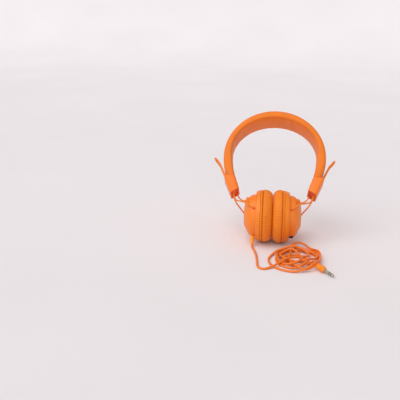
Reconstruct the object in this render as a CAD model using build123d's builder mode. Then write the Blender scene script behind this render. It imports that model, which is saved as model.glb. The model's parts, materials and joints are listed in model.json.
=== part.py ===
"""Wired on-ear headphones: two closed-back cups on spring-wire yokes, a padded steel headband, and a lead.

The headset is drawn upright, with its origin at the centre of the two cups: X to its left and right, Y
from front to back, Z up. LEAN then tips it back about the cups, as it leans when it is put down, and
brings the underside of the headband's crown to the row's origin. The lead and its plug are drawn on the
surface that the cups rest on, with Z up from it, and ON_SURFACE puts them under the headset.
Lengths are millimetres, and side is -1 for the left cup and 1 for the right.
"""
import math
import os

from build123d import *

os.makedirs("parts", exist_ok=True)

# --- driving dimensions ---------------------------------------------------------------------------
LEAN_ANGLE = 38            # the headset leans back from the vertical by this much
CUSHION_R = 35             # outer radius of an ear cushion, which rests on the surface
FACE_X = 0.6               # each cushion's face, from the plane where the two cushions meet

# headband
ARC_CENTRE_Z = 80          # centre of the headband's outer arc
ARC_R = 69.2               # radius of the headband's outer arc
CROWN_Z = 138              # underside of the crown
SHOULDER_X = 57.8          # half the width inside the headband at its widest
SHOULDER_Z = 88.3          # height of that widest place
BAND_END_Z = 50            # the headband ends here, in its end caps
BAND_END_X = 51.5          # inner face of the headband at that end
BAND_DEPTH = 36            # front to back
BAND_EDGE_R = 4.5          # rounding along the headband's four long edges
SLEEVE_WALL = 1.4          # leatherette cover with its backing
SPRING_R = 65              # mean radius of the spring strip
SPRING_T = 0.8
SPRING_WIDTH = 14
LEAD_R = 0.9               # thin audio leads inside the headband and down to the cups

# end caps: an outline from the headband's end to a slanted mouth
CAP_TOP = (59.15, BAND_END_Z)
CAP_TOP_SIZE = (15.5, 36.6)
CAP_MOUTH = (51.3, 30.3)
CAP_MOUTH_SIZE = (13.4, 29)
CAP_MOUTH_TILT = 32
CAP_WALL = 1.5
CAP_EDGE_R = 4
CAP_SCREW_Z = 41           # height of the two screws through the cap's inner wall
CAP_SCREW_Y = 11
CAP_SCREW_REACH = 4.7
GUIDE_RECESS = 2.2         # the guide block stands back this far from the cap's mouth
GUIDE_DROP = 1.2           # and this far below the headband's end
SCREW_R = 0.9
SCREW_HEAD_R = 1.8

# wire yokes
WIRE_R = 1
WIRE_GAP = 10.5            # between the centrelines of a yoke's two legs
WIRE_LEAN = 25             # the legs slide along a line at this angle from the vertical
WIRE_START = (53.9, 28.5)  # that line leaves the cap's mouth here
YOKE_FORK_Z = 18.5         # below this the two legs spread round the cup
YOKE_ELBOW = (35.5, 28.5, 7.8)
YOKE_BEND_Z = 71.5         # the legs turn outwards here, to the hairpin's tip
YOKE_TIP = (81.6, 81)
YOKE_BENDS = [2.2, 7, 6, 9]  # bend radii from a pivot end up to the hairpin
SLIDE_FIT = 0.08           # radial clearance of a wire in its guide or its bush

# cups, measured out from the plane where the cushions meet
PLATE_X = 12.6             # cushion plate
BAFFLE_X = 15.8            # front of the housing
RING_END_X = 21.8          # back of the housing ring
COVER_X = 21.9             # rim of the back cover
COVER_END_X = 37.6         # middle of the back cover
COVER_R = 28.4             # radius of the back cover at its rim
SHELL_WALL = 1.6
PIVOT_X = 24               # the cup tilts about a line through here, from front to back
PIN_TIP_Y = 24.6
PIN_BEND_Y = 31.6
BUSH_R = 1.9
BUSH_LENGTH = 4
PORT_X = 25.2              # strain relief on the left, socket on the right
SCREW_CIRCLE_R = 27.5
RECESS_R = 15              # the ear's recess in a cushion
DRIVER_R = 20
BOSS_SIZE = (16, 10)       # raised boss on the cover, where the thin lead enters: front to back, and height
BOSS_SHIFT = 3             # its middle is this far in front of the lead
BOSS_SETBACK = 1.2
BOSS_DEPTH = 7
RELIEF_R = 2.7             # strain relief just below the cover
RELIEF_NECK_R = 2
SOCKET_R = 3

# leads
LEAD_EXIT = (47.7, 30.6)     # a thin lead leaves the cap here
LEAD_Y = 8.2
LEAD_IN_CAP = 20
LEAD_DROP = 4              # straight out of the cap, before it turns to the cup
LEAD_TO_CUP = [(41.5, 7, 22.8), (36, 5.5, 21.6), (31, 5, 19)]
LEAD_BEND = 3
CORD_R = 1.4
RELIEF_TIP_Z = -39.8       # the strain relief ends here, just above the surface
CORD_EXIT_RUN = 2.8        # straight out of the strain relief
HEAP_HEIGHT = 9
HEAP_EDGE_R = 4
PLUG_R = 3.8
PLUG_LENGTH = 17
PIN_R = 1.75
COLLAR_R = 2.2             # the metal collar between the pin and the plug's body
PIN_LENGTH = 14
SOCKET_BORE_R = 1.8
SOCKET_MOUTH_Z = -28.8

SURFACE_Z = -(CUSHION_R + CROWN_Z * math.cos(math.radians(LEAN_ANGLE)))
CUPS_Y = -CROWN_Z * math.sin(math.radians(LEAN_ANGLE))
LEAN = Location((0, 0, 0), (-LEAN_ANGLE, 0, 0)) * Location((0, 0, -CROWN_Z))
ON_SURFACE = Location((0, CUPS_Y, SURFACE_Z))
SIDES = {"left": -1, "right": 1}


def save(piece, name, placing=LEAN):
    """Put a finished piece in its place in the row, name it and write it."""
    piece.part.move(placing)
    piece.part.label = name
    export_step(piece.part, f"parts/{name}.step")


def slide_point(side, z, y=0.0):
    """The point of a yoke's slide line at height z."""
    x = WIRE_START[0] + (z - WIRE_START[1]) * math.tan(math.radians(WIRE_LEAN))
    return (side * x, y, z)


def slide_plane(side, z, y=0.0):
    """A plane across the slide line at height z, facing up along it."""
    lean = math.radians(WIRE_LEAN)
    return Plane(slide_point(side, z, y), x_dir=(math.cos(lean), 0, -side * math.sin(lean)),
                 z_dir=(side * math.sin(lean), 0, math.cos(lean)))


# --- headband -------------------------------------------------------------------------------------
def band_outline(inset=0.0, end_drop=0.0):
    """The headband's outline from the front, drawn inside its true size by inset."""
    end_z = BAND_END_Z - end_drop
    outer = ARC_R - inset
    outer_x = math.sqrt(outer**2 - (ARC_CENTRE_Z - end_z) ** 2)
    inner_x = BAND_END_X + inset
    shoulder = SHOULDER_X + inset
    ThreePointArc((-outer_x, end_z), (0, ARC_CENTRE_Z + outer), (outer_x, end_z))
    Line((outer_x, end_z), (inner_x, end_z))
    TangentArc((shoulder, SHOULDER_Z), (inner_x, end_z), tangent=(0, -1))
    EllipticalCenterArc((0, SHOULDER_Z), shoulder, CROWN_Z - SHOULDER_Z + inset, arc_size=180)
    TangentArc((-shoulder, SHOULDER_Z), (-inner_x, end_z), tangent=(0, -1))
    Line((-inner_x, end_z), (-outer_x, end_z))


def long_edges(piece, half_depth):
    """The edges that run the length of the headband at its front and back."""
    return piece.edges().filter_by(lambda e: abs(abs(e.center().Y) - half_depth) < 0.01 and e.length > 20)


with BuildPart() as band_core:                     # everything inside the sleeve, before it is divided
    with BuildSketch(Plane.XZ):
        with BuildLine():
            band_outline(inset=SLEEVE_WALL)
        make_face()
    extrude(amount=BAND_DEPTH / 2 - SLEEVE_WALL, both=True)
    fillet(long_edges(band_core, BAND_DEPTH / 2 - SLEEVE_WALL), BAND_EDGE_R - SLEEVE_WALL)

with BuildPart() as headband_sleeve:
    with BuildSketch(Plane.XZ):
        with BuildLine():
            band_outline()
        make_face()
    extrude(amount=BAND_DEPTH / 2, both=True)
    fillet(long_edges(headband_sleeve, BAND_DEPTH / 2), BAND_EDGE_R)
    add(band_core.part, mode=Mode.SUBTRACT)

spring_end = math.degrees(math.asin((ARC_CENTRE_Z - 41) / SPRING_R))
with BuildPart() as headband_spring:
    with BuildSketch(Plane.XZ):
        with BuildLine():
            strip = CenterArc((0, ARC_CENTRE_Z), SPRING_R, -spring_end, 180 + 2 * spring_end)
            offset(strip, amount=SPRING_T / 2)
        make_face()
    extrude(amount=SPRING_WIDTH / 2, both=True)

crossover_r = SPRING_R - 2
crossover_end = math.degrees(math.asin((ARC_CENTRE_Z - BAND_END_Z - 3) / crossover_r))
with BuildPart() as crossover_lead:                # carries the right channel over the head
    with BuildLine(Plane.XZ) as lead_line:
        CenterArc((0, ARC_CENTRE_Z), crossover_r, -crossover_end, 180 + 2 * crossover_end)
    with BuildSketch(Plane(lead_line.line @ 0, z_dir=lead_line.line % 0)):
        Circle(LEAD_R)
    sweep()

with BuildPart() as headband_foam:
    add(band_core.part)
    add(headband_spring.part, mode=Mode.SUBTRACT)
    add(crossover_lead.part, mode=Mode.SUBTRACT)

save(headband_sleeve, "headband_sleeve")
save(headband_foam, "headband_foam")


# --- end caps -------------------------------------------------------------------------------------
def cap_form(side, wall=0.0, overrun=0.0):
    """The end cap's outside, or its inside when wall is given, lofted from its mouth to its top."""
    tilt = math.radians(CAP_MOUTH_TILT)
    mouth = Plane((side * CAP_MOUTH[0], 0, CAP_MOUTH[1]), x_dir=(math.cos(tilt), 0, -side * math.sin(tilt)),
                  z_dir=(side * math.sin(tilt), 0, math.cos(tilt)))
    top = Plane((side * CAP_TOP[0], 0, CAP_TOP[1]), x_dir=(1, 0, 0), z_dir=(0, 0, 1))
    with BuildPart() as form:
        for plane, size in ((mouth.offset(-overrun), CAP_MOUTH_SIZE), (top.offset(overrun), CAP_TOP_SIZE)):
            with BuildSketch(plane):
                RectangleRounded(size[0] - 2 * wall, size[1] - 2 * wall, CAP_EDGE_R - wall)
        loft()
    return form.part, mouth


def cap_inner_wall(side):
    """The plane of the cap's inner wall, facing the wearer's head, at the height of its screws."""
    tilt = math.radians(CAP_MOUTH_TILT)
    half_mouth = CAP_MOUTH_SIZE[0] / 2
    low_x, low_z = CAP_MOUTH[0] - half_mouth * math.cos(tilt), CAP_MOUTH[1] + half_mouth * math.sin(tilt)
    top_x, top_z = CAP_TOP[0] - CAP_TOP_SIZE[0] / 2, CAP_TOP[1]
    lean = math.atan2(top_x - low_x, top_z - low_z)
    screw_x = top_x - (top_z - CAP_SCREW_Z) * math.tan(lean)
    return Plane((side * screw_x, 0, CAP_SCREW_Z), x_dir=(0, 1, 0),
                 z_dir=(-side * math.cos(lean), 0, math.sin(lean)))


with BuildPart() as cap_screws:                    # two through each cap's inner wall into its guide
    for side in SIDES.values():
        for radius, start, length in ((SCREW_HEAD_R, -1.2, 1.4), (SCREW_R, -CAP_SCREW_REACH, 4)):
            with BuildSketch(cap_inner_wall(side).offset(start)):
                with GridLocations(2 * CAP_SCREW_Y, 0, 2, 1):
                    Circle(radius)
            extrude(amount=length)


def build_cap(side):
    outside, _ = cap_form(side)
    inside, _ = cap_form(side, CAP_WALL, overrun=0.05)
    with BuildPart() as cap:
        add(outside)
        add(inside, mode=Mode.SUBTRACT)
        add(cap_screws.part, mode=Mode.SUBTRACT)
    return cap


def build_guide(side):
    """The block inside the cap: two wire guides, the lead's way through and the spring strip's seat."""
    inside, mouth = cap_form(side, CAP_WALL + 0.02)
    with BuildPart() as guide:
        add(inside)
        split(bisect_by=mouth.offset(GUIDE_RECESS), keep=Keep.TOP)
        split(bisect_by=Plane.XY.offset(BAND_END_Z - GUIDE_DROP), keep=Keep.BOTTOM)
        for leg in (-1, 1):
            with BuildSketch(slide_plane(side, WIRE_START[1], leg * WIRE_GAP / 2)):
                Circle(WIRE_R + SLIDE_FIT)
            extrude(amount=30, mode=Mode.SUBTRACT)
        with BuildSketch(lead_plane(side)):
            Circle(LEAD_R + SLIDE_FIT)
        extrude(amount=30, mode=Mode.SUBTRACT)
        add(headband_spring.part, mode=Mode.SUBTRACT)
        add(cap_screws.part, mode=Mode.SUBTRACT)
    return guide


def lead_plane(side):
    """Across the lead where it leaves the cap's mouth, facing up along the slide line."""
    lean = math.radians(WIRE_LEAN)
    return Plane((side * LEAD_EXIT[0], LEAD_Y, LEAD_EXIT[1]),
                 x_dir=(math.cos(lean), 0, -side * math.sin(lean)),
                 z_dir=(side * math.sin(lean), 0, math.cos(lean)))


for name, side in SIDES.items():
    save(build_cap(side), f"end_cap_{name}")
    save(build_guide(side), f"wire_guide_{name}")

save(cap_screws, "cap_screws")
save(headband_spring, "headband_spring")
save(crossover_lead, "crossover_lead")


# --- wire yokes and the leads beside them ---------------------------------------------------------
def build_yoke(side):
    """One spring wire: a hairpin whose legs slide in the cap, spread round the cup and end in its pivots."""
    half_gap = WIRE_GAP / 2
    elbow_x, elbow_y, elbow_z = YOKE_ELBOW
    leg = [(side * PIVOT_X, -PIN_TIP_Y, 0), (side * PIVOT_X, -PIN_BEND_Y, 0),
           (side * elbow_x, -elbow_y, elbow_z),
           slide_point(side, YOKE_FORK_Z, -half_gap), slide_point(side, YOKE_BEND_Z, -half_gap),
           (side * YOKE_TIP[0], -half_gap, YOKE_TIP[1])]
    bends = [*YOKE_BENDS, half_gap - 0.05]
    route = leg + [(x, -y, z) for x, y, z in reversed(leg)]
    with BuildPart() as yoke:
        with BuildLine() as wire:
            FilletPolyline(*route, radius=bends + bends[::-1])
        with BuildSketch(Plane(wire.line @ 0, z_dir=wire.line % 0)):
            Circle(WIRE_R)
        sweep()
    return yoke


def build_lead(side):
    """The thin lead from the cap down into the cup, with a spare length in the cap for the yoke's travel."""
    up = lead_plane(side)
    top = up.origin + up.z_dir * LEAD_IN_CAP
    low = up.origin - up.z_dir * LEAD_DROP
    route = [top, low, *[(side * x, y, z) for x, y, z in LEAD_TO_CUP]]
    with BuildPart() as lead:
        with BuildLine() as line:
            FilletPolyline(*route, radius=LEAD_BEND)
        with BuildSketch(Plane(line.line @ 0, z_dir=line.line % 0)):
            Circle(LEAD_R)
        sweep()
    return lead


for name, side in SIDES.items():
    save(build_yoke(side), f"wire_yoke_{name}")


# --- cups -----------------------------------------------------------------------------------------
def turned(side, *outlines, cuts=()):
    """Solids of revolution about the cup's axis, from outlines of (distance out, radius) points."""
    with BuildPart() as piece:
        for outline, mode in [(o, Mode.ADD) for o in outlines] + [(c, Mode.SUBTRACT) for c in cuts]:
            with BuildSketch(Plane.XZ):
                with BuildLine():
                    Polyline(*[(side * x, r) for x, r in outline], close=True)
                make_face()
            revolve(axis=Axis.X, mode=mode)
    return piece


def ring(x0, x1, r_in, r_out):
    """The outline of a plain ring or disc."""
    return [(x0, r_in), (x1, r_in), (x1, r_out), (x0, r_out)]


def build_cushion(side):
    """A leatherette ring, crowned at its outer edge, with a recess for the ear and a skirt behind."""
    with BuildPart() as cushion:
        with BuildSketch(Plane.XZ):
            with BuildLine():
                Line((side * FACE_X, RECESS_R + 4), (side * FACE_X, 27))
                Spline((side * FACE_X, 27), (side * 3.5, 32.2), (side * 8, 34.3), (side * 12.6, CUSHION_R),
                       (side * 15.4, 34.1), tangents=[(0, 1), (side * 1, -0.8)])
                Polyline((side * 15.4, 34.1), (side * 15.4, 31.4), (side * PLATE_X, 31.4),
                         (side * PLATE_X, RECESS_R), (side * (FACE_X + 4), RECESS_R))
                RadiusArc((side * (FACE_X + 4), RECESS_R), (side * FACE_X, RECESS_R + 4), side * 4)
            make_face()
        revolve(axis=Axis.X)
    return cushion


def cover_outline(side, wall=0.0):
    """The back cover's profile, drawn inside its true size by wall."""
    rim, end = COVER_X - (1 if wall else 0), COVER_END_X - wall
    Spline((side * rim, COVER_R - wall), (side * (30.3 - 0.4 * wall), 25.4 - wall),
           (side * (35 - 0.75 * wall), 17.6 - 0.7 * wall), (side * end, 0),
           tangents=[(side * 1, -0.12), (0, -1)])
    Polyline((side * end, 0), (side * rim, 0), (side * rim, COVER_R - wall))


def boss_plane(side):
    """Across the thin lead where it meets the cover, facing out along it."""
    outer, inner = [Vector(side * x, y, z) for x, y, z in LEAD_TO_CUP[1:]]
    return Plane(outer, x_dir=(0, 1, 0), z_dir=outer - inner)


def build_cover(side, port_r):
    """The domed back cover, with its pivot bosses' holes, its port, and a boss round the lead's way in."""
    with BuildPart() as cover:
        with BuildSketch(Plane.XZ):
            with BuildLine():
                cover_outline(side)
            make_face()
        revolve(axis=Axis.X)
        with BuildSketch(boss_plane(side).offset(-BOSS_SETBACK)):
            with Locations((-BOSS_SHIFT, 0)):
                Ellipse(BOSS_SIZE[0] / 2, BOSS_SIZE[1] / 2)
        extrude(amount=-BOSS_DEPTH, taper=-8)
        with BuildSketch(Plane.XZ):
            with BuildLine():
                cover_outline(side, SHELL_WALL)
            make_face()
        revolve(axis=Axis.X, mode=Mode.SUBTRACT)
        with BuildSketch(Plane.XZ):
            with Locations((side * PIVOT_X, 0)):
                Circle(BUSH_R)
        extrude(amount=32, both=True, mode=Mode.SUBTRACT)
        with BuildSketch(Plane.XY):
            with Locations((side * PORT_X, 0)):
                Circle(port_r)
        extrude(amount=-32, mode=Mode.SUBTRACT)
        add(build_lead(side).part, mode=Mode.SUBTRACT)
    return cover


def build_bushes(side):
    """Two bushes in the cover's side walls, which the yoke's ends turn in."""
    with BuildPart() as bushes:
        for end in (-1, 1):
            with BuildSketch(Plane.XZ.offset(end * (PIN_TIP_Y - 0.4))):
                with Locations((side * PIVOT_X, 0)):
                    Circle(BUSH_R)
                    Circle(WIRE_R + 0.06, mode=Mode.SUBTRACT)
            extrude(amount=end * BUSH_LENGTH)
    return bushes


def build_housing(side):
    """The housing ring: an outer band, a rear web that the cover sits on, and three screw bosses."""
    with BuildPart() as housing:
        with BuildSketch(Plane.XZ):
            with BuildLine():
                Polyline(*[(side * x, r) for x, r in (
                    (BAFFLE_X, 33.4), (16.4, 34), (20.8, 32.6), (RING_END_X, 31.6), (RING_END_X, 25),
                    (20.2, 25), (20.2, 31), (BAFFLE_X, 31))], close=True)
            make_face()
        revolve(axis=Axis.X)
        with BuildSketch(Plane.YZ.offset(side * 20.2)):
            with PolarLocations(SCREW_CIRCLE_R, 3, start_angle=90):
                Circle(2.2)
        extrude(amount=-side * 2.2)
        with BuildSketch(Plane.YZ.offset(side * 17)):
            with PolarLocations(SCREW_CIRCLE_R, 3, start_angle=90):
                Circle(SCREW_R)
        extrude(amount=side * 6, mode=Mode.SUBTRACT)
    return housing


def build_baffle(side):
    """The plate that carries the driver, with its screw holes and a ring of vents."""
    with BuildPart() as baffle:
        with BuildSketch(Plane.YZ.offset(side * BAFFLE_X)):
            Circle(30.9)
            Circle(DRIVER_R - 1.5, mode=Mode.SUBTRACT)
            with PolarLocations(SCREW_CIRCLE_R, 3, start_angle=90):
                Circle(SCREW_R, mode=Mode.SUBTRACT)
            with PolarLocations(24, 8, start_angle=15):
                Circle(1.2, mode=Mode.SUBTRACT)
        extrude(amount=side * 1.8)
    return baffle


def build_baffle_screws(side):
    with BuildPart() as screws:
        for radius, start, length in ((SCREW_HEAD_R, BAFFLE_X - 0.9, 0.9), (SCREW_R, BAFFLE_X, 5)):
            with BuildSketch(Plane.YZ.offset(side * start)):
                with PolarLocations(SCREW_CIRCLE_R, 3, start_angle=90):
                    Circle(radius)
            extrude(amount=side * length)
    return screws


def build_grille(side):
    """A thin pressed disc with rings of round holes, in front of the driver."""
    with BuildPart() as grille:
        with BuildSketch(Plane.YZ.offset(side * 14.75)):
            Circle(23.5)
            for radius, count in ((0.01, 1), (4.5, 6), (9, 12), (13.5, 18)):
                with PolarLocations(radius, count):
                    Circle(1.1, mode=Mode.SUBTRACT)
        extrude(amount=side * 0.7)
    return grille


def build_cup(name, side):
    port_r = RELIEF_NECK_R if name == "left" else SOCKET_R
    driver_x = BAFFLE_X + 1.85
    magnet_x = driver_x + 5.6
    parts = {
        "ear_cushion": build_cushion(side),
        "cushion_plate": turned(side, ring(PLATE_X + 0.05, 14.6, RECESS_R + 1, 31.2)),
        "driver_grille": build_grille(side),
        "baffle": build_baffle(side),
        "baffle_screws": build_baffle_screws(side),
        "cup_housing": build_housing(side),
        "driver_frame": turned(side, [(driver_x, 16.4), (driver_x, DRIVER_R), (driver_x + 1.2, DRIVER_R),
                                      (driver_x + 1.6, 17.6), (magnet_x, 11), (magnet_x, 8.6),
                                      (magnet_x - 0.9, 8.6), (driver_x + 1.2, 16.4)]),
        "driver_diaphragm": turned(side, [(driver_x + 0.1, 16.2), (driver_x - 0.9, 12.5),
                                          (driver_x + 0.1, 8.2), (driver_x - 1.1, 4), (driver_x - 1.5, 0),
                                          (driver_x - 1.2, 0), (driver_x - 0.8, 4), (driver_x + 0.4, 8.2),
                                          (driver_x - 0.6, 12.5), (driver_x + 0.4, 16.2)]),
        "voice_coil": turned(side, ring(driver_x + 0.5, driver_x + 4.2, 7.3, 7.9)),
        "driver_magnet": turned(side, [(magnet_x + 2.6, 0), (magnet_x + 2.6, 9.6), (magnet_x + 0.05, 9.6),
                                       (magnet_x + 0.05, 8.1), (magnet_x + 1.6, 8.1), (magnet_x + 1.6, 6.9),
                                       (driver_x + 2, 6.9), (driver_x + 2, 0)]),
        "cup_cover": build_cover(side, port_r),
        "pivot_bushes": build_bushes(side),
        "cup_lead": build_lead(side),
    }
    for piece, built in parts.items():
        save(built, f"{piece}_{name}")


for name, side in SIDES.items():
    build_cup(name, side)


# --- what enters the cups from below --------------------------------------------------------------
with BuildPart() as strain_relief:                 # a flange inside the cover, a neck, and a ribbed taper
    with BuildSketch(Plane.XZ):
        with BuildLine():
            Polyline((-PORT_X, -24), (-PORT_X - 3, -24), (-PORT_X - 3, -24.8),
                     (-PORT_X - RELIEF_NECK_R, -24.8), (-PORT_X - RELIEF_NECK_R, -28.6),
                     (-PORT_X - RELIEF_R, -28.6), (-PORT_X - RELIEF_R + 0.2, RELIEF_TIP_Z + 0.6),
                     (-PORT_X - 1.9, RELIEF_TIP_Z), (-PORT_X, RELIEF_TIP_Z), close=True)
        make_face()
    revolve(axis=Axis((-PORT_X, 0, 0), (0, 0, 1)))
save(strain_relief, "strain_relief")

with BuildPart() as share_socket:                  # takes a second pair of headphones
    with BuildSketch(Plane.XY.offset(SOCKET_MOUTH_Z)):
        with Locations((PORT_X, 0)):
            Circle(SOCKET_R - 0.02)
    extrude(amount=PIN_LENGTH + 1)
    with BuildSketch(Plane.XY.offset(SOCKET_MOUTH_Z)):
        with Locations((PORT_X, 0)):
            Circle(SOCKET_BORE_R)
    extrude(amount=PIN_LENGTH, mode=Mode.SUBTRACT)
save(share_socket, "share_socket")


# --- lead and plug, on the surface ----------------------------------------------------------------
relief_tip = ON_SURFACE.inverse() * LEAN * Location((-PORT_X, 0, RELIEF_TIP_Z))
lean = math.radians(LEAN_ANGLE)
tip_x, tip_y, tip_z = relief_tip.position
CORD_ROUTE = [
    (tip_x, tip_y, tip_z),
    (tip_x, tip_y - CORD_EXIT_RUN * math.sin(lean), tip_z - CORD_EXIT_RUN * math.cos(lean)),
    (-24.6, -31, CORD_R), (-21.7, -40, CORD_R), (-18.6, -56, CORD_R), (-17, -76, CORD_R), (-16, -93, CORD_R),
    (-7.5, -97.6, CORD_R), (3, -89.5, 2.4),
]
CORD_RADII = []
for before, corner, after in zip(CORD_ROUTE, CORD_ROUTE[1:], CORD_ROUTE[2:]):
    run_in, run_out = Vector(corner) - Vector(before), Vector(after) - Vector(corner)
    turn = math.radians(run_in.get_angle(run_out))
    CORD_RADII.append(0.45 * min(run_in.length, run_out.length) / math.tan(turn / 2))
print("cord radii", [round(r, 1) for r in CORD_RADII])

with BuildPart() as cord_run:
    with BuildLine() as route:
        FilletPolyline(*CORD_ROUTE, radius=CORD_RADII)
    with BuildSketch(Plane(route.line @ 0, z_dir=route.line % 0)):
        Circle(CORD_R)
    sweep()
cord_length = sum(edge.length for edge in route.edges())
print("cord run", round(cord_length, 1), "volume", round(cord_run.part.volume, 1),
      "section x length", round(cord_length * math.pi * CORD_R**2, 1))
save(cord_run, "cord_run", ON_SURFACE)

with BuildPart() as cord_heap:                     # the outer shape of the lead's loose turns
    with BuildSketch():
        with BuildLine():
            Spline((2.5, -87), (-3.5, -64), (8, -50), (25, -45), (34, -29), (43, -21), (55, -23), (64, -42),
                   (65, -62), (58, -82), (38, -98), (18, -101), periodic=True)
        make_face()
    extrude(amount=HEAP_HEIGHT)
    fillet(cord_heap.faces().sort_by(Axis.Z)[-1].edges(), HEAP_EDGE_R)
save(cord_heap, "cord_heap", ON_SURFACE)

plug_nose = Plane((73.2, -110.5, 2.6), x_dir=(0.779, 0.627, 0), z_dir=(0.627, -0.779, -0.1))


def plug_piece(outline):
    """A piece of the plug turned about its axis, from (distance back from the tip, radius) points."""
    with BuildPart() as piece:
        with BuildSketch(Plane(plug_nose.origin, x_dir=-plug_nose.z_dir, z_dir=plug_nose.x_dir)):
            with BuildLine():
                Polyline(*outline, close=True)
            make_face()
        revolve(axis=Axis(plug_nose.origin, plug_nose.z_dir))
    return piece


BODY_START = PIN_LENGTH + 1.2
PLUG_PIECES = {
    "plug_tip": [(0, 0), (0, 0.6), (1.5, PIN_R), (2.6, 1.2), (3.6, PIN_R), (3.6, 0)],
    "plug_insulator_front": ring(3.6, 4.6, 0, PIN_R - 0.02),
    "plug_ring": ring(4.6, 6.4, 0, PIN_R),
    "plug_insulator_rear": ring(6.4, 7.4, 0, PIN_R - 0.02),
    "plug_sleeve": [(7.4, 0), (7.4, PIN_R), (PIN_LENGTH, PIN_R), (PIN_LENGTH, COLLAR_R),
                    (BODY_START, COLLAR_R), (BODY_START, 0)],
    "plug_body": [(BODY_START, 0), (BODY_START, 2.7), (BODY_START + 0.8, PLUG_R),
                  (BODY_START + PLUG_LENGTH - 3, PLUG_R), (BODY_START + PLUG_LENGTH, 2),
                  (BODY_START + PLUG_LENGTH, 0)],
}
for name, outline in PLUG_PIECES.items():
    save(plug_piece(outline), name, ON_SURFACE)
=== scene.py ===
"""The looks of the wired on-ear headphones: padded headband, ear cushions, lead and plug, and every finish.

Two frames are used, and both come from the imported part. UPRIGHT draws the headset standing upright, with
its origin at the centre of the two cups. SURFACE draws the lead where it lies, with its origin on the
surface, under the cups. Lengths are written in millimetres and multiplied by MM where a mesh is made.
"""
import json
import math

import bmesh
import bpy
import numpy as np
from mathutils import Matrix, Vector, noise
from mathutils.bvhtree import BVHTree


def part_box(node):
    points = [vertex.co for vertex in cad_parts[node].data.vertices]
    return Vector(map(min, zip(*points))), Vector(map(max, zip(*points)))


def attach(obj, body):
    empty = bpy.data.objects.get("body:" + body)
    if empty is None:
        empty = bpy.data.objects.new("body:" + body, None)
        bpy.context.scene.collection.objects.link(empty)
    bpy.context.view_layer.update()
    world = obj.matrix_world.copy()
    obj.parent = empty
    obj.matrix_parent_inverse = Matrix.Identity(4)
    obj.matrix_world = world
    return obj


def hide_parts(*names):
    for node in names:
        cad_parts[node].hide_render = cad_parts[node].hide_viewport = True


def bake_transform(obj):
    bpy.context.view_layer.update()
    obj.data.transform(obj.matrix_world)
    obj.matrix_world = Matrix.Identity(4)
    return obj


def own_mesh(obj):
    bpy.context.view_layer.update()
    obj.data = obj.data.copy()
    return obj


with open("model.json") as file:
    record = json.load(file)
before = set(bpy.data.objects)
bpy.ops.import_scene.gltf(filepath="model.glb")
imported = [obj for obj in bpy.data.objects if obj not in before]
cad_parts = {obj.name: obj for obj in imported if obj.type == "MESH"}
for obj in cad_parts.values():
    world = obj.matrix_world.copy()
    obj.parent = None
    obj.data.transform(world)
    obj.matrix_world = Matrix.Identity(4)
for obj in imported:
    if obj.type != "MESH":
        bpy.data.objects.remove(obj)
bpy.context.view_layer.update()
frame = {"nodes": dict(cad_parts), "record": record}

MM = 0.001
SIDES = {"left": -1, "right": 1}

# --- the two frames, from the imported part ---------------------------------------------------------
mounts = {mount["name"]: mount for mount in frame["record"]["mounts"]}
CUPS = Vector((0, *mounts["left_ear_pad"]["pos_m"][1:]))
CROWN_Z = math.hypot(CUPS.y, CUPS.z) / MM
LEAN = math.atan2(-CUPS.y, -CUPS.z)
CUSHION_R = (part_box("ear_cushion_left")[1].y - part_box("ear_cushion_left")[0].y) / 2 / MM
SURFACE_Z = CUPS.z - CUSHION_R * MM
UPRIGHT = Matrix.Rotation(-LEAN, 4, "X") @ Matrix.Translation((0, 0, -CROWN_Z * MM))
SURFACE = Matrix.Translation((0, CUPS.y, SURFACE_Z))


def upright_box(node):
    """Lowest and highest corner of a CAD node in the upright frame, in millimetres."""
    back = UPRIGHT.inverted()
    points = np.array([back @ v.co for v in frame["nodes"][node].data.vertices]) / MM
    return points.min(0), points.max(0)


# --- camera, floor and light ----------------------------------------------------------------------
FLOOR_COLOUR = (0.83, 0.792, 0.808)


def make_camera():
    """Stands in front, a little to the left, and looks down at the headset, which is right of centre."""
    distance, pitch, heading = 0.81, math.radians(18), math.radians(6.86)
    right_of_centre, below_centre = 0.0962, 0.0213
    camera = bpy.data.objects.new("camera", bpy.data.cameras.new("camera"))
    bpy.context.scene.collection.objects.link(camera)
    camera.data.sensor_width = 36
    camera.data.lens = 54.8
    camera.rotation_euler = (math.pi / 2 - pitch, 0, heading)
    turn = camera.rotation_euler.to_matrix()
    camera.location = CUPS + turn @ Vector((-right_of_centre, below_centre, distance))
    bpy.context.scene.camera = camera


def make_sun(name, towards, strength, spread):
    """Even light from one direction, as soft as a lamp spread degrees wide."""
    lamp = bpy.data.lights.new(name, "SUN")
    lamp.energy = strength
    lamp.angle = math.radians(spread)
    lamp.color = (1, 0.99, 0.975)
    light = bpy.data.objects.new(name, lamp)
    bpy.context.scene.collection.objects.link(light)
    light.rotation_euler = Vector(towards).to_track_quat("Z", "Y").to_euler()


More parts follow.
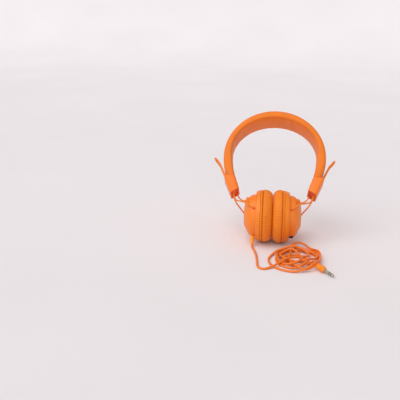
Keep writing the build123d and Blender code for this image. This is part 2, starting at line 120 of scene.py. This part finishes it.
def make_stage():
    """A pale floor that curves up into a backdrop, a broad soft key light and an even sky."""
    flat_end, bend_r, top_z, half_width = 2.2, 1.3, 3.2, 6
    profile = [(-5, 0), (flat_end, 0)]
    for angle in np.linspace(0, math.pi / 2, 24)[1:]:
        profile.append((flat_end + bend_r * math.sin(angle), bend_r * (1 - math.cos(angle))))
    profile.append((flat_end + bend_r, top_z))
    points = [(x, y, SURFACE_Z + z) for y, z in profile for x in (-half_width, half_width)]
    mesh = bpy.data.meshes.new("floor")
    mesh.from_pydata(points, [], [(i, i + 1, i + 3, i + 2) for i in range(0, len(points) - 2, 2)])
    mesh.shade_smooth()
    mesh.materials.append(plain_material("floor_paint", FLOOR_COLOUR, 0.8))
    floor = bpy.data.objects.new("floor", mesh)
    bpy.context.scene.collection.objects.link(floor)

    world = bpy.data.worlds.new("studio")
    world.use_nodes = True
    sky = world.node_tree.nodes["Background"]
    sky.inputs["Color"].default_value = (0.97, 0.955, 0.965, 1)
    sky.inputs["Strength"].default_value = 0.53
    bpy.context.scene.world = world
    make_sun("key", (-0.42, -0.3, 0.86), 1.36, 56)
    make_sun("front_fill", (-0.1, -0.93, 0.35), 0.6, 60)
    bpy.context.scene.view_settings.view_transform = "Standard"


# --- finishes -------------------------------------------------------------------------------------
def plain_material(name, colour, roughness):
    """A matt paint with faint blotches."""
    made, tree, shader = empty_material(name)
    shader.inputs["Roughness"].default_value = roughness
    blotch(tree, shader, colour, 0.02, 3)
    return made


def empty_material(name):
    made = bpy.data.materials.new(name)
    made.use_nodes = True
    tree = made.node_tree
    return made, tree, tree.nodes["Principled BSDF"]


def object_texture(tree, kind, scale, **settings):
    """A procedural texture in the object's own coordinates, with features about 1/scale metres wide."""
    place = tree.nodes.new("ShaderNodeTexCoord")
    texture = tree.nodes.new(kind)
    texture.inputs["Scale"].default_value = scale
    for key, value in settings.items():
        texture.inputs[key].default_value = value
    tree.links.new(place.outputs["Object"], texture.inputs["Vector"])
    return texture


def blotch(tree, shader, colour, amount, scale):
    """Base colour that drifts a little lighter and darker over the surface."""
    cloud = object_texture(tree, "ShaderNodeTexNoise", scale, Detail=4)
    ramp = tree.nodes.new("ShaderNodeValToRGB")
    for stop, place, gain in ((0, 0.3, 1 - amount), (1, 0.7, 1 + amount)):
        ramp.color_ramp.elements[stop].position = place
        ramp.color_ramp.elements[stop].color = (*[min(1, c * gain) for c in colour], 1)
    tree.links.new(cloud.outputs["Fac"], ramp.inputs["Fac"])
    tree.links.new(ramp.outputs["Color"], shader.inputs["Base Color"])


def vary_roughness(tree, shader, low, high, scale):
    cloud = object_texture(tree, "ShaderNodeTexNoise", scale, Detail=3)
    spread = tree.nodes.new("ShaderNodeMapRange")
    spread.inputs["To Min"].default_value = low
    spread.inputs["To Max"].default_value = high
    tree.links.new(cloud.outputs["Fac"], spread.inputs["Value"])
    tree.links.new(spread.outputs["Result"], shader.inputs["Roughness"])


def bump(tree, shader, source, height, strength=1.0):
    """Adds a fine relief, on top of any that the shader has already."""
    relief = tree.nodes.new("ShaderNodeBump")
    relief.inputs["Distance"].default_value = height
    relief.inputs["Strength"].default_value = strength
    tree.links.new(source, relief.inputs["Height"])
    for link in list(shader.inputs["Normal"].links):
        tree.links.new(link.from_socket, relief.inputs["Normal"])
    tree.links.new(relief.outputs["Normal"], shader.inputs["Normal"])


def leatherette(name, colour, roughness=0.46, grain=0.00012):
    """Coated fabric: a pebble grain of rounded cells over softer creases, with a faint sheen."""
    made, tree, shader = empty_material(name)
    blotch(tree, shader, colour, 0.05, 45)
    vary_roughness(tree, shader, roughness - 0.05, roughness + 0.07, 160)
    shader.inputs["Specular IOR Level"].default_value = 0.3
    shader.inputs["Sheen Weight"].default_value = 0.03
    shader.inputs["Sheen Roughness"].default_value = 0.5
    cells = object_texture(tree, "ShaderNodeTexVoronoi", 1100, Randomness=1)
    bump(tree, shader, cells.outputs["Distance"], grain)
    creases = object_texture(tree, "ShaderNodeTexNoise", 260, Detail=5, Roughness=0.6)
    bump(tree, shader, creases.outputs["Fac"], 2 * grain, 0.6)
    return made


def moulded(name, colour, roughness=0.4, texture=0.00003, coat=0.0):
    """Injection-moulded plastic: a fine spark-eroded texture and slightly uneven gloss."""
    made, tree, shader = empty_material(name)
    blotch(tree, shader, colour, 0.025, 60)
    vary_roughness(tree, shader, roughness - 0.04, roughness + 0.06, 220)
    shader.inputs["Coat Weight"].default_value = coat
    shader.inputs["Coat Roughness"].default_value = 0.25
    eroded = object_texture(tree, "ShaderNodeTexNoise", 2600, Detail=2)
    bump(tree, shader, eroded.outputs["Fac"], texture)
    return made


def rubbery(name, colour, roughness=0.5):
    """Soft extruded or moulded rubber: satin, with faint drag marks."""
    made, tree, shader = empty_material(name)
    blotch(tree, shader, colour, 0.04, 90)
    vary_roughness(tree, shader, roughness - 0.06, roughness + 0.08, 300)
    shader.inputs["Specular IOR Level"].default_value = 0.45
    drag = object_texture(tree, "ShaderNodeTexNoise", 1500, Detail=3, Roughness=0.7)
    bump(tree, shader, drag.outputs["Fac"], 0.00004)
    return made


def metal(name, colour, roughness):
    """Drawn or plated metal with fine scratches."""
    made, tree, shader = empty_material(name)
    shader.inputs["Metallic"].default_value = 1
    blotch(tree, shader, colour, 0.04, 400)
    vary_roughness(tree, shader, roughness * 0.7, roughness * 1.4, 900)
    scratch = object_texture(tree, "ShaderNodeTexNoise", 4000, Detail=4)
    bump(tree, shader, scratch.outputs["Fac"], 0.00001)
    return made


ORANGE = (0.88, 0.225, 0.007)
BRIGHT = (0.95, 0.205, 0.006)
YELLOW_ORANGE = (1.0, 0.34, 0.008)
DARK = (0.012, 0.011, 0.011)
# thread colour, darkened with painted shade: the shade that falls in the stitch notches
THREAD_AND_NOTCH_SHADE = (0.58, 0.1, 0.006)

FINISHES = {
    "sleeve_leatherette": leatherette("sleeve_leatherette_look", (0.85, 0.2, 0.01)),
    "cushion_leatherette": leatherette("cushion_leatherette_look", (0.85, 0.222, 0.009), 0.5, 0.0001),
    "foam": moulded("foam_look", (0.3, 0.3, 0.3), 0.9),
    "spring_steel": metal("spring_steel_look", (0.55, 0.55, 0.56), 0.3),
    "inner_cable": rubbery("inner_cable_look", ORANGE, 0.45),
    "cap_plastic": moulded("cap_plastic_look", BRIGHT, 0.38, coat=0.05),
    "guide_plastic": moulded("guide_plastic_look", (0.86, 0.14, 0.028), 0.5),
    "screw_steel": metal("screw_steel_look", (0.5, 0.5, 0.5), 0.35),
    "coated_wire": rubbery("coated_wire_look", (0.86, 0.23, 0.012), 0.34),
    "inner_plastic": moulded("inner_plastic_look", (0.08, 0.08, 0.08), 0.5),
    "grille": metal("grille_look", (0.2, 0.2, 0.2), 0.45),
    "housing_plastic": moulded("housing_plastic_look", ORANGE, 0.4, coat=0.05),
    "diaphragm_film": moulded("diaphragm_film_look", (0.6, 0.6, 0.55), 0.3),
    "copper": metal("copper_look", (0.85, 0.4, 0.2), 0.3),
    "magnet": metal("magnet_look", (0.3, 0.3, 0.31), 0.4),
    "cover_plastic": moulded("cover_plastic_look", (0.92, 0.222, 0.005), 0.4, coat=0.05),
    "relief_rubber": rubbery("relief_rubber_look", YELLOW_ORANGE, 0.36),
    "black_plastic": moulded("black_plastic_look", DARK, 0.4),
    "cable": rubbery("cable_look", (0.87, 0.2, 0.016), 0.42),
    "plug_rubber": rubbery("plug_rubber_look", (0.98, 0.27, 0.006), 0.34),
    "gold_plate": metal("gold_plate_look", (0.55, 0.49, 0.4), 0.25),
}


# the stitches' finish: thread colour with the notch shade painted in
THREAD_AND_NOTCH_SHADE_LOOK = rubbery("thread_and_notch_shade_look", THREAD_AND_NOTCH_SHADE, 0.6)


def finish_cad_nodes():
    """Gives every CAD node the look of its own material slot."""
    for part in frame["record"]["subparts"]:
        for slot in frame["nodes"][part["node"]].material_slots:
            slot.material = FINISHES[part["material_slot"]]


# --- mesh helpers ---------------------------------------------------------------------------------
def skin(name, rings, slot, body, around=True, along=False, caps=False, matrix=UPRIGHT):
    """A smooth surface through rings of points in millimetres, as a new piece that rides on body."""
    rings = np.asarray(rings, float)
    count, size = rings.shape[:2]
    points = [tuple(p * MM) for p in rings.reshape(-1, 3)]
    faces = []
    for i in range(count if along else count - 1):
        for j in range(size if around else size - 1):
            low, high = i * size, (i + 1) % count * size
            faces.append((low + j, low + (j + 1) % size, high + (j + 1) % size, high + j))
    if caps:
        faces.append(tuple(reversed(range(size))))
        faces.append(tuple(range((count - 1) * size, count * size)))
    mesh = bpy.data.meshes.new(name)
    mesh.from_pydata(points, [], faces)
    mesh.shade_smooth()
    return add_piece(name, mesh, slot, body, matrix)


def face_outward(mesh):
    """Turns every face's front outward, mirrored pieces included."""
    shape = bmesh.new()
    shape.from_mesh(mesh)
    bmesh.ops.recalc_face_normals(shape, faces=shape.faces)
    shape.to_mesh(mesh)
    shape.free()


def add_piece(name, mesh, slot, body, matrix=UPRIGHT):
    face_outward(mesh)
    piece = bpy.data.objects.new(name, mesh)
    bpy.context.scene.collection.objects.link(piece)
    piece.matrix_world = matrix
    mesh.materials.append(FINISHES[slot])
    if body:
        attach(piece, body)
    return piece


def turned_rings(profile, side, segments):
    """Rings about the cup's axis for a profile of (distance out, radius)."""
    angles = np.linspace(0, 2 * math.pi, segments, endpoint=False)
    profile = np.asarray(profile, float)
    rings = np.zeros((segments, len(profile), 3))
    rings[:, :, 0] = side * profile[:, 0]
    rings[:, :, 1] = np.cos(angles)[:, None] * profile[:, 1]
    rings[:, :, 2] = np.sin(angles)[:, None] * profile[:, 1]
    return rings, angles


def through(points, count, closed=False):
    """A smooth line through a few points, as count evenly spaced ones (Catmull-Rom)."""
    points = np.asarray(points, float)
    if closed:
        knots = np.vstack([points[-1], points, points[0], points[1]])
    else:
        knots = np.vstack([2 * points[0] - points[1], points, 2 * points[-1] - points[-2]])
    fine = []
    for a, b, c, d in zip(knots, knots[1:], knots[2:], knots[3:]):
        for t in np.linspace(0, 1, 24, endpoint=False):
            fine.append(0.5 * (2 * b + (c - a) * t + (2 * a - 5 * b + 4 * c - d) * t**2
                               + (3 * b - a - 3 * c + d) * t**3))
    fine.append(points[0] if closed else points[-1])
    return evenly(np.array(fine), count, closed)


def evenly(line, count, closed=False):
    """count points evenly spaced along a polyline."""
    along = np.concatenate([[0], np.cumsum(np.linalg.norm(np.diff(line, axis=0), axis=1))])
    at = np.linspace(0, along[-1], count, endpoint=not closed)
    return np.stack([np.interp(at, along, line[:, k]) for k in range(line.shape[1])], axis=1)


# --- the lead -------------------------------------------------------------------------------------
CORD_R = 1.4
CORD_RUN = [                   # from the strain relief's tip, down and along the surface to the heap
    (-25.2, -24.5, 3.64), (-25.2, -26.23, 1.43), (-24.6, -31, CORD_R), (-21.7, -40, CORD_R),
    (-18.6, -56, CORD_R), (-17, -76, CORD_R), (-16, -93, CORD_R), (-7.5, -97.6, CORD_R), (3, -89.5, 2.4),
]
CORD_ONTO_HEAP = [(12, -81), (21, -74), (32, -69), (42, -63.5), (49, -56)]
FIRST_TURN = 3                 # the climb meets the turns at this point of them
HEAP_TURNS_X = [52, -3.2, 61, 7, 38, 11, 58, 22, 60, 6, 46, 14, 57, 12]     # right, left, right, ...
HEAP_TURNS_Y = [-38, -101, -24, -87, -44, -77, -30, -96, -37, -91, -49, -84, -35]   # far, near, far, ...
HEAP_STEPS = 22                # points in each turn
KINK_AFTER = 26                # a low kink comes after this many of them
KINK_SKIPS = 4                 # and takes the place of this many
KINK = [(47, -27.5, 4), (43.2, -21.5, 5), (37.6, -17, 5.8), (31, -18, 5.8), (27.4, -24, 4.8),
        (22.8, -29.2, 4)]
PLUG_END = [(14, -67), (21, -71.5), (30, -70.5), (38.5, -70), (45, -75.4), (49.5, -81), (53.1, -85.5)]
PLUG_Z = 5.8
PLUG_MOUNT_BACK = 8.8          # the plug's mount is this far back from its tip
PLUG_BODY_START = 15.2
PLUG_BODY_LENGTH = 17
PLUG_BODY_R = 3.75


def swing(extremes, turns):
    """Goes back and forth between the extremes, half a turn from each to the next."""
    at = 2 * turns
    index = min(int(at), len(extremes) - 2)
    share = (1 - math.cos(math.pi * (at - index))) / 2
    return extremes[index] + (extremes[index + 1] - extremes[index]) * share


def heap_line():
    """The heap's line from above, from where the lead climbs onto it to the plug's end."""
    y_extremes = [-62, *HEAP_TURNS_Y]
    last_turn = (len(HEAP_TURNS_X) - 1) / 2
    turns = []
    for step in range(int(last_turn * HEAP_STEPS) + 1):
        at = step / HEAP_STEPS
        turns.append((swing(HEAP_TURNS_X, at), swing(y_extremes, at + 0.25)))
    return turns


def lay_heap():
    """Control points of the heap: the turns, laid one on another from the plug's end up."""
    turns = [(x, y, 0) for x, y in heap_line()]
    line = [(x, y, 0) for x, y in CORD_ONTO_HEAP] + turns[FIRST_TURN:KINK_AFTER] + KINK
    line += turns[KINK_AFTER + KINK_SKIPS:] + [(x, y, 0) for x, y in PLUG_END[:-1]]
    line.append((*PLUG_END[-1], PLUG_Z))
    control = np.array(line, float)
    along = np.concatenate([[0], np.cumsum(np.linalg.norm(np.diff(control[:, :2], axis=0), axis=1))])
    fine_at = np.arange(0, along[-1], 1.0)[::-1]
    fine = np.stack([np.interp(fine_at, along, control[:, k]) for k in range(3)], axis=1)
    lowest = np.maximum(fine[:, 2], CORD_R)
    away = np.linalg.norm(fine[:, None, :2] - fine[None, :, :2], axis=2)
    order = np.arange(len(fine))
    below = (order[None, :] < order[:, None] - 8) & (away < 2 * CORD_R)
    lift = np.sqrt(np.maximum((2 * CORD_R) ** 2 - away**2, 0))
    slope = 0.3
    heights = lowest.copy()
    for _ in range(8):
        heights = np.maximum(lowest, np.where(below, heights[None, :] + lift, 0).max(axis=1))
        cones = heights[None, :] - slope * np.abs(order[:, None] - order[None, :])
        heights = cones.max(axis=1)
    control[:, 2] = np.interp(along, fine_at[::-1], heights[::-1])
    return [tuple(p) for p in control]


def make_cord(plug_body):
    points = CORD_RUN + lay_heap()
    curve = bpy.data.curves.new("lead_curve", "CURVE")
    curve.dimensions = "3D"
    curve.bevel_depth = CORD_R * MM
    curve.bevel_resolution = 5
    spline = curve.splines.new("NURBS")
    spline.points.add(len(points) - 1)
    for control, (x, y, z) in zip(spline.points, points):
        control.co = (*(SURFACE @ (Vector((x, y, z)) * MM)), 1)
    spline.order_u = 3
    spline.use_endpoint_u = True
    spline.resolution_u = 6
    curve.use_fill_caps = True
    curve.materials.append(FINISHES["cable"])
    cord = bpy.data.objects.new("lead", curve)
    bpy.context.scene.collection.objects.link(cord)
    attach(cord, "cup_left")
    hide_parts("cord_run", "cord_heap")


# --- padding --------------------------------------------------------------------------------------
SIM_SCALE = 10                 # the cloth is simulated this much larger, where its settings suit it
FRAMES = 20


def coordinates(mesh):
    flat = np.empty(3 * len(mesh.vertices))
    mesh.vertices.foreach_get("co", flat)
    return flat.reshape(-1, 3)


def voxel_copy(piece, voxel):
    """A remeshed, enlarged copy of a piece, on which cloth can be simulated."""
    enlarged = piece.data.copy()
    enlarged.transform(Matrix.Scale(SIM_SCALE, 4))
    copy = bpy.data.objects.new("inflating", enlarged)
    bpy.context.scene.collection.objects.link(copy)
    remesh = copy.modifiers.new("voxels", "REMESH")
    remesh.mode = "VOXEL"
    remesh.voxel_size = voxel * MM * SIM_SCALE
    even = bpy.data.meshes.new_from_object(copy.evaluated_get(bpy.context.evaluated_depsgraph_get()))
    copy.modifiers.clear()
    copy.data = even
    return copy


def inflate(piece, voxel, most, held):
    """Blows a padded piece up as cloth, by most millimetres at most, except where held says a seam is.

    The voxel copy is simulated, and each point of the piece then moves as the nearest place on it did."""
    copy = voxel_copy(piece, voxel)
    before = coordinates(copy.data)
    pins = copy.vertex_groups.new(name="seams")
    pins.add([i for i, point in enumerate(before / SIM_SCALE / MM) if held(*point)], 1, "REPLACE")
    cloth = copy.modifiers.new("cloth", "CLOTH")
    cloth.settings.vertex_group_mass = pins.name
    cloth.settings.use_pressure = True
    cloth.settings.uniform_pressure_force = 4
    cloth.settings.effector_weights.gravity = 0
    cloth.collision_settings.use_collision = False
    cloth.point_cache.frame_end = FRAMES
    for step in range(1, FRAMES + 1):
        bpy.context.scene.frame_set(step)
    swollen = copy.evaluated_get(bpy.context.evaluated_depsgraph_get())
    moved = (coordinates(swollen.to_mesh()) - before) / SIM_SCALE
    size = np.linalg.norm(moved, axis=1, keepdims=True) + 1e-9
    moved *= most * MM * np.tanh(size / (most * MM)) / size
    copy.data.calc_loop_triangles()
    corners = [tuple(triangle.vertices) for triangle in copy.data.loop_triangles]
    surface = BVHTree.FromPolygons([tuple(p) for p in before], corners)
    for vertex in piece.data.vertices:
        spot, _, index, _ = surface.find_nearest(vertex.co * SIM_SCALE)
        away = np.linalg.norm(before[list(corners[index])] - np.array(spot), axis=1)
        share = 1 / (away + 1e-6)
        vertex.co += Vector((moved[list(corners[index])] * (share / share.sum())[:, None]).sum(axis=0))
    bpy.context.scene.frame_set(1)
    bpy.data.objects.remove(copy)


def reshape(piece, shift):
    """Moves every vertex of a piece by shift(x, y, z), in the upright frame's millimetres."""
    for vertex in piece.data.vertices:
        vertex.co += Vector(shift(*(vertex.co / MM))) * MM


# --- headband -------------------------------------------------------------------------------------
SHOULDER = (57.8, 88.3)        # half the width inside the band at its widest, and that height
BAND_END_X = 51.5              # inner face at the band's ends
BAND_HALF_T = 5.45
OUTER_CORNER = 4.6             # rounding of the sleeve's long edges, on top and underneath
INNER_CORNER = 2.4
SLEEVE_SHRINK = 0.5            # the sleeve starts this much thinner, and is then blown up
PANEL_SEAM_Y = 14.6            # seams along the underside, this far from the middle
PANEL_END = 26                 # and one across it, this far along the band from the crown


def half_band(low, high):
    """The right half of the band from the crown down: outer and inner points, paired by length."""
    radius, end_z = high[0], low[2]
    centre_z = high[2] - radius
    end = math.asin((end_z - centre_z) / radius)
    outer = [(radius * math.cos(a), centre_z + radius * math.sin(a))
             for a in np.linspace(math.pi / 2, end, 200)]
    inner = [(SHOULDER[0] * math.sin(a), SHOULDER[1] + (CROWN_Z - SHOULDER[1]) * math.cos(a))
             for a in np.linspace(0, math.pi / 2, 150)]
    run, drop = SHOULDER[0] - BAND_END_X, SHOULDER[1] - end_z
    bend = (run**2 + drop**2) / (2 * run)
    inner += [(SHOULDER[0] - bend + bend * math.cos(a), SHOULDER[1] - bend * math.sin(a))
              for a in np.linspace(0, math.asin(drop / bend), 60)[1:]]
    stations = 180
    return evenly(np.array(outer), stations), evenly(np.array(inner), stations)


def band_section(half_depth):
    """Points round a rounded rectangle, as (across the band's thickness, along its depth)."""
    outline = []
    signs = ((1, 1), (-1, 1), (-1, -1), (1, -1))
    for quarter, (across, deep) in enumerate(signs):
        radius = OUTER_CORNER if across > 0 else INNER_CORNER
        centre = np.array([across * (BAND_HALF_T - radius), deep * (half_depth - radius)])
        for angle in np.linspace(quarter, quarter + 1, 9) * math.pi / 2:
            outline.append(centre + radius * np.array([math.cos(angle), math.sin(angle)]))
        following = signs[(quarter + 1) % 4]
        radius = OUTER_CORNER if following[0] > 0 else INNER_CORNER
        ahead = (quarter + 1) * math.pi / 2
        first = np.array([following[0] * (BAND_HALF_T - radius) + radius * math.cos(ahead),
                          following[1] * (half_depth - radius) + radius * math.sin(ahead)])
        last, steps = outline[-1], 6 if quarter % 2 == 0 else 48
        outline += [last + (first - last) * share for share in np.linspace(0, 1, steps + 1)[1:-1]]
    return outline


def groove(distance, width):
    """1 at a seam, falling to 0 a few widths away."""
    return math.exp(-((distance / width) ** 2))


def band_relief(across, deep, half_depth, from_crown, from_end):
    """How far the finished sleeve stands out from the inflated one at one point of its section."""
    crowned = 1 - (deep / half_depth) ** 2
    tuck = -0.9 * math.exp(-from_end / 2.2)
    pucker = 0.22 * math.sin(deep * 2.1 + 3) * math.exp(-((from_end - 5) / 5) ** 2)
    ripple = 0.12 * noise.noise(Vector((from_crown * 0.16, deep * 0.1, across)))
    if across > 0:
        return 0.35 * crowned + tuck + pucker + ripple
    seams = 0.8 * groove(abs(deep) - PANEL_SEAM_Y, 0.6)
    seams += 0.7 * groove(from_crown - PANEL_END, 0.7) * (abs(deep) < PANEL_SEAM_Y)
    gathers = 0.13 * math.sin(from_crown * 1.9) * groove(abs(deep) - PANEL_SEAM_Y, 2.2)
    return 0.35 * crowned - seams + gathers + tuck + pucker + 1.6 * ripple


def make_headband():
    low, high = upright_box("headband_sleeve")
    outer, inner = half_band(low, high)
    outer = np.vstack([outer[::-1] * (-1, 1), outer[1:]])
    inner = np.vstack([inner[::-1] * (-1, 1), inner[1:]])
    half_depth = high[1]
    section = band_section(half_depth)
    along = np.concatenate([[0], np.cumsum(np.linalg.norm(np.diff(outer, axis=0), axis=1))])
    rings, outward, details = [], [], []
    for out, into, at in zip(outer, inner, along):
        middle, reach = (out + into) / 2, (out - into) / 2
        away = reach / np.linalg.norm(reach)
        from_end, from_crown = min(at, along[-1] - at), at - along[-1] / 2
        for across, deep in section:
            share = across / BAND_HALF_T
            x, z = middle + reach * share - away * share * SLEEVE_SHRINK
            rings.append((x, deep, z))
            outward.append((away[0] * share, away[1] * share))
            details.append(band_relief(across, deep, half_depth, from_crown, from_end))
    rings = np.array(rings).reshape(len(outer), len(section), 3)
    sleeve = skin("headband_padded_sleeve", rings, "sleeve_leatherette", "headband", caps=True)

    def on_a_seam(x, y, z):
        return abs(y) > half_depth - 2.5 or z < low[2] + 4 or math.hypot(x, z - low[2]) < 10

    inflate(sleeve, 2.4, SLEEVE_SHRINK + 0.3, on_a_seam)
    for vertex, (x, z), detail in zip(sleeve.data.vertices, outward, details):
        vertex.co += Vector((x, 0, z)) * detail * MM
    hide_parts("headband_sleeve")


# --- ear cushions ---------------------------------------------------------------------------------
SEAM_X = 12.8                  # the stitched seam round the cushion, out from where the cushions meet
SEAM_R = 33.4
FACE_GAP = 0.12                # between a cushion's face and the plane where they meet
STITCHES = 66
STITCH_RINGS = 7               # rings along one stitch
STITCH_SIDES = 8
CUSHION_PROFILE = [            # distance out and radius, over the face and into the ear's recess
    (15.7, 33.6), (14.6, 34.2), (13.5, 34.0), (12.8, 33.3), (12.1, 34.0), (10.5, 34.6), (8, 34.5),
    (5, 33.7), (2.6, 32.2), (1, 30.2), (0.3, 28), (0.3, 25), (0.3, 22.5), (0.9, 19.8), (2.4, 17.2),
    (5, 15.7), (9, 15.4), (12.5, 15.4),
]
SEGMENTS = 6 * STITCHES


def cushion_relief(side, x, y, z):
    """Seam, gathers and fine pleats: how far out a point of the cushion moves from its axis."""
    out, radius, angle = abs(x), math.hypot(y, z), math.atan2(z, y)
    if radius < 24:
        return 0, 0, 0
    cloud = noise.noise(Vector((side * 3, 1.6 * math.cos(angle), 1.6 * math.sin(angle)))) + 0.5
    seam = -0.95 * groove(out - SEAM_X, 0.5)
    gathers = 0.5 * math.sin(STITCHES * angle) * groove(out - SEAM_X, 1.5) * (0.4 + cloud)
    pleats = 0.55 * math.sin(STITCHES * angle + 0.8 * math.sin(7 * angle)) * groove(out - 8, 3.2) * cloud
    slack = 0.3 * noise.noise(Vector((x * 0.12 + 9, 2.2 * math.cos(angle), 2.2 * math.sin(angle))))
    shift = seam + gathers + pleats + slack * min(1, (radius - 24) / 6)
    return 0, shift * y / radius, shift * z / radius


def rest_cushion(cushion, side):
    """Flattens a cushion where it meets the other cushion and the surface."""
    lowest = SURFACE_Z + 0.05 * MM
    down = UPRIGHT.to_3x3().inverted() @ Vector((0, 0, 1))
    for vertex in cushion.data.vertices:
        vertex.co.x = side * max(side * vertex.co.x, FACE_GAP * MM)
        short = lowest - (UPRIGHT @ vertex.co).z
        if short > 0:
            vertex.co += down * short


def make_stitches(name, side):
    """The thread that shows in the seam, one short stitch after another; it is coloured darker than the
    cushion, the thread's own colour with the shade of the stitch notches painted in.
    """
    stitches = []
    for index in range(STITCHES):
        centre = 2 * math.pi * (index + 0.5) / STITCHES
        half = 0.3 * 2 * math.pi / STITCHES
        for at in np.linspace(centre - half, centre + half, STITCH_RINGS):
            dip = 1 - ((at - centre) / half) ** 2
            ring_r = SEAM_R - 0.8 + 0.75 * dip
            thread = 0.12 + 0.2 * math.sqrt(max(dip, 0))
            ring = []
            for turn in np.linspace(0, 2 * math.pi, STITCH_SIDES, endpoint=False):
                radius = ring_r + thread * math.sin(turn)
                out = side * (SEAM_X + thread * math.cos(turn))
                ring.append((out, radius * math.cos(at), radius * math.sin(at)))
            stitches.append(ring)
    points = np.array(stitches)
    mesh = bpy.data.meshes.new(f"cushion_stitches_{name}")
    faces = []
    for first in range(0, len(points), STITCH_RINGS):
        last = first + STITCH_RINGS - 1
        for low in range(first * STITCH_SIDES, last * STITCH_SIDES, STITCH_SIDES):
            high = low + STITCH_SIDES
            for j in range(STITCH_SIDES):
                after = (j + 1) % STITCH_SIDES
                faces.append((low + j, low + after, high + after, high + j))
        faces.append(tuple(first * STITCH_SIDES + j for j in reversed(range(STITCH_SIDES))))
        faces.append(tuple(last * STITCH_SIDES + j for j in range(STITCH_SIDES)))
    mesh.from_pydata([tuple(p * MM) for p in points.reshape(-1, 3)], [], faces)
    mesh.shade_smooth()
    piece = add_piece(mesh.name, mesh, "cushion_leatherette", f"cup_{name}")
    # the stitches take the darker thread finish, which paints in the shade of their notches
    mesh.materials[0] = THREAD_AND_NOTCH_SHADE_LOOK
    return piece


def make_cushion(name, side):
    profile = np.vstack([through(CUSHION_PROFILE, 100), [(12.6, 31.2), (15.7, 31.2)]])
    rings, _ = turned_rings(profile, side, SEGMENTS)
    cushion = skin(f"ear_cushion_padded_{name}", rings, "cushion_leatherette", f"cup_{name}", along=True)

    def on_a_seam(x, y, z):
        return abs(x) > SEAM_X - 0.6 or math.hypot(y, z) < 15.6

    inflate(cushion, 1.6, 0.6, on_a_seam)
    reshape(cushion, lambda x, y, z: cushion_relief(side, x, y, z))
    rest_cushion(cushion, side)
    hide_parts(f"ear_cushion_{name}")
    for piece in (cushion, make_stitches(name, side)):
        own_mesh(piece)


# --- small leads, strain relief and plug ----------------------------------------------------------
def tube(name, points, radius, slot, body=None, matrix=UPRIGHT):
    """A mesh tube along a smooth line through the frame, whose control points are given."""
    curve = bpy.data.curves.new(name, "CURVE")
    curve.dimensions = "3D"
    curve.bevel_depth = radius * MM
    curve.bevel_resolution = 6
    curve.use_fill_caps = True
    spline = curve.splines.new("NURBS")
    spline.points.add(len(points) - 1)
    for control, point in zip(spline.points, points):
        control.co = (*(Vector(point) * MM), 1)
    spline.order_u = 3
    spline.use_endpoint_u = True
    spline.resolution_u = 10
    holder = bpy.data.objects.new(name + "_curve", curve)
    mesh = bpy.data.meshes.new_from_object(holder)
    bpy.data.objects.remove(holder)
    mesh.shade_smooth()
    return add_piece(name, mesh, slot, body, matrix)


def make_cup_lead(name, side):
    """The thin lead from the cap into the cup; it follows the yoke at the top and the cup below."""
    points = [(53.1, 8.2, 42.2), (50.4, 8.2, 36.4), (47.7, 8.2, 30.6), (46, 8.2, 27), (41.5, 7, 22.8),
              (36, 5.5, 21.6), (31, 5, 19)]
    lead = tube(f"ear_lead_{name}", [(side * x, y, z) for x, y, z in points], 0.9, "inner_cable")
    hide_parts(f"cup_lead_{name}")
    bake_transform(lead)


def turned_piece(name, profile, matrix, slot, body, segments=64):
    """A lathe-turned piece about the local Z axis of matrix, from (height, radius) points in millimetres."""
    rings = []
    for height, radius in profile:
        angles = np.linspace(0, 2 * math.pi, segments, endpoint=False)
        heights = np.full(segments, height)
        rings.append(np.stack([radius * np.cos(angles), radius * np.sin(angles), heights], axis=1))
    return skin(name, rings, slot, body, caps=True, matrix=matrix)


def ribbed(start, end, count, outer_start, outer_end, depth):
    """Profile points of a taper with rounded ribs between two heights."""
    points = []
    for share in np.linspace(0, 1, count * 8 + 1):
        rib = 0.5 + 0.5 * math.cos(2 * math.pi * count * share)
        outer = outer_start + (outer_end - outer_start) * share
        points.append((start + (end - start) * share, outer - depth * (1 - rib)))
    return points


def make_strain_relief():
    low, high = upright_box("strain_relief")
    top, tip, port_x = high[2], low[2], (low[0] + high[0]) / 2
    profile = [(top, 2.9), (top - 0.8, 3), (top - 0.9, 2), (-28.5, 2), (-28.6, 2.45), (-28.9, 2.7),
               (-30.4, 2.72), (-30.8, 2.5)]
    profile += ribbed(-31.2, tip + 1.6, 5, 2.55, 2.25, 0.22)
    profile += [(tip + 1.1, 2.1), (tip + 0.4, 1.95), (tip, 1.6)]
    place = UPRIGHT @ Matrix.Translation((port_x * MM, 0, 0))
    relief = turned_piece("ribbed_strain_relief", profile[::-1], place, "relief_rubber", "cup_left")
    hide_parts("strain_relief")
    return relief


def make_plug_body():
    jack = mounts["jack_plug"]
    out = Vector(jack["axis"])
    tip = Vector(jack["pos_m"]) + out * PLUG_MOUNT_BACK * MM
    place = Matrix.Translation(tip) @ (-out).to_track_quat("Z", "Y").to_matrix().to_4x4()
    start, length, radius = PLUG_BODY_START, PLUG_BODY_LENGTH, PLUG_BODY_R
    profile = [(start, 2.5), (start + 0.15, 2.75), (start + 0.9, 2.85), (start + 1.1, 3.3),
               (start + 1.5, radius - 0.15), (start + 2.1, radius), (start + 3.2, radius),
               (start + 3.4, radius - 0.18), (start + 3.8, radius - 0.18), (start + 4, radius)]
    profile += ribbed(start + 5, start + length - 6, 4, radius, radius - 0.15, 0.2)
    profile += [(start + length - 5.4, radius - 0.3), (start + length - 4.6, radius - 0.9),
                (start + length - 4.2, 2.5)]
    profile += ribbed(start + length - 4, start + length - 0.6, 3, 2.45, 2, 0.25)
    profile += [(start + length, 1.7)]
    body = turned_piece("moulded_plug_body", profile, place, "plug_rubber", "cup_left")
    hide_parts("plug_body")
    return body


# --- the scene ------------------------------------------------------------------------------------
make_camera()
make_stage()
finish_cad_nodes()
make_strain_relief()
make_cord(make_plug_body())
make_headband()
for name, side in SIDES.items():
    make_cushion(name, side)
    make_cup_lead(name, side)
